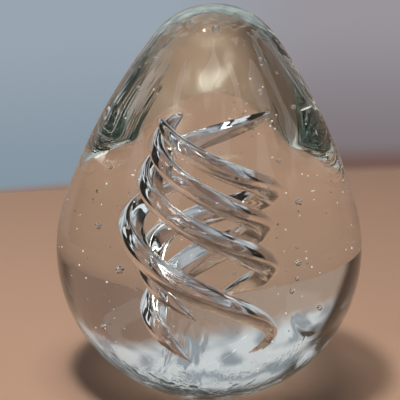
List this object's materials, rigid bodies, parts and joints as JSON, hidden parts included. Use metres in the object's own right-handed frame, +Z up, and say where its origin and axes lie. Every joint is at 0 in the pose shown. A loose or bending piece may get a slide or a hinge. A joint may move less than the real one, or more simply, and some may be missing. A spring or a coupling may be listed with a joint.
{
  "type": "paperweight",
  "caption": "Solid glass egg-shaped desk paperweight with twisted ribbons of air and small bubbles inside, standing on a ground flat base.",
  "frame": {"origin": "centre of the ground base, on the face that the paperweight stands on", "axes": "+Z up the egg's axis, -Y towards the front, +X to the viewer's right"},
  "size_m": [0.076, 0.076, 0.0946],
  "materials": {
    "clear_glass": "fire-polished clear glass with a faint green tint; the base is ground and scuffed",
    "core_glass": "clear glass, fused to the casing all round",
    "ribbon_air": "trapped air with silvery walls, bright and dark by total reflection",
    "bubble_air": "trapped air, a bright point with a dark rim"
  },
  "bodies": {
    "root": {"outer_casing": "clear_glass", "core_gather": "core_glass", "air_ribbon_1": "ribbon_air", "air_ribbon_2": "ribbon_air", "air_ribbon_3": "ribbon_air", "air_ribbon_4": "ribbon_air", "seed_bubble_01": "bubble_air", "seed_bubble_02": "bubble_air", "seed_bubble_03": "bubble_air", "seed_bubble_04": "bubble_air", "seed_bubble_05": "bubble_air", "seed_bubble_06": "bubble_air", "seed_bubble_07": "bubble_air", "seed_bubble_08": "bubble_air", "seed_bubble_09": "bubble_air", "seed_bubble_10": "bubble_air", "seed_bubble_11": "bubble_air", "seed_bubble_12": "bubble_air", "seed_bubble_13": "bubble_air", "seed_bubble_14": "bubble_air", "seed_bubble_15": "bubble_air"}
  },
  "joints": []
}
